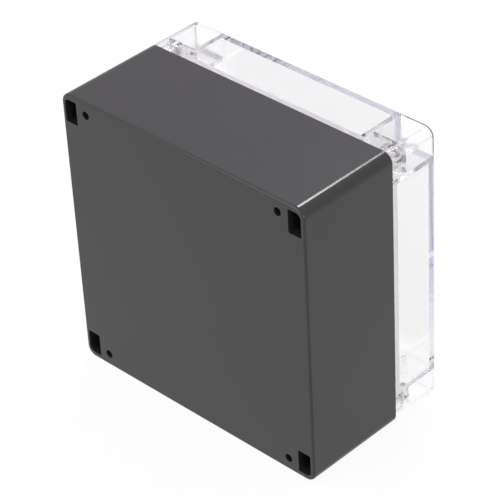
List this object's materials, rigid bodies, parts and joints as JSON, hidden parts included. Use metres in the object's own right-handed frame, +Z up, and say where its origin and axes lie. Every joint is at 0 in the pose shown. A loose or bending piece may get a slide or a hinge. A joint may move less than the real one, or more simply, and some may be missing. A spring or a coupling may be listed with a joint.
{
  "type": "plastic project box",
  "caption": "Square sealed electronics case: dark moulded base and a deep clear cover held by captive corner screws.",
  "frame": {"origin": "middle of the footprint on the surface that the box stands on, under the middle of its depth", "axes": "+Z up, +Y from the rear mounting face towards the clear cover, +X to the right as the rear face is seen"},
  "size_m": [0.16, 0.09, 0.16],
  "materials": {
    "case_plastic": "satin dark grey moulded plastic",
    "clear_plastic": "clear polished polycarbonate",
    "gasket_rubber": "pale silicone rubber",
    "insert_brass": "turned brass",
    "screw_steel": "bright plated steel",
    "retainer_nylon": "natural nylon"
  },
  "bodies": {
    "base": {"base": "case_plastic", "thread_insert_1": "insert_brass", "thread_insert_2": "insert_brass", "thread_insert_3": "insert_brass", "thread_insert_4": "insert_brass"},
    "cover": {"cover": "clear_plastic", "gasket": "gasket_rubber"},
    "retainer_1": {"screw_retainer_1": "retainer_nylon"},
    "screw_1": {"cover_screw_1": "screw_steel"},
    "retainer_2": {"screw_retainer_2": "retainer_nylon"},
    "screw_2": {"cover_screw_2": "screw_steel"},
    "retainer_3": {"screw_retainer_3": "retainer_nylon"},
    "screw_3": {"cover_screw_3": "screw_steel"},
    "retainer_4": {"screw_retainer_4": "retainer_nylon"},
    "screw_4": {"cover_screw_4": "screw_steel"}
  },
  "joints": [
    {"name": "cover_lift", "type": "slide", "parent": "base", "child": "cover", "axis": [0, 1, 0], "range_m": [0, 0.08]},
    {"name": "screw_1_rise", "type": "slide", "parent": "cover", "child": "retainer_1", "axis": [0, 1, 0], "range_m": [0, 0.0052]},
    {"name": "screw_1_spin", "type": "hinge", "parent": "retainer_1", "child": "screw_1", "pos_m": [0.072, 0.026, 0.152], "axis": [0, 1, 0], "range_deg": [0, 3120]},
    {"name": "screw_2_rise", "type": "slide", "parent": "cover", "child": "retainer_2", "axis": [0, 1, 0], "range_m": [0, 0.0052]},
    {"name": "screw_2_spin", "type": "hinge", "parent": "retainer_2", "child": "screw_2", "pos_m": [-0.072, 0.026, 0.152], "axis": [0, 1, 0], "range_deg": [0, 3120]},
    {"name": "screw_3_rise", "type": "slide", "parent": "cover", "child": "retainer_3", "axis": [0, 1, 0], "range_m": [0, 0.0052]},
    {"name": "screw_3_spin", "type": "hinge", "parent": "retainer_3", "child": "screw_3", "pos_m": [-0.072, 0.026, 0.008], "axis": [0, 1, 0], "range_deg": [0, 3120]},
    {"name": "screw_4_rise", "type": "slide", "parent": "cover", "child": "retainer_4", "axis": [0, 1, 0], "range_m": [0, 0.0052]},
    {"name": "screw_4_spin", "type": "hinge", "parent": "retainer_4", "child": "screw_4", "pos_m": [0.072, 0.026, 0.008], "axis": [0, 1, 0], "range_deg": [0, 3120]}
  ],
  "couplings": [
    {"joint": "screw_1_spin", "follows": "screw_1_rise", "rad_per_m": 10472},
    {"joint": "screw_2_spin", "follows": "screw_2_rise", "rad_per_m": 10472},
    {"joint": "screw_3_spin", "follows": "screw_3_rise", "rad_per_m": 10472},
    {"joint": "screw_4_spin", "follows": "screw_4_rise", "rad_per_m": 10472}
  ]
}
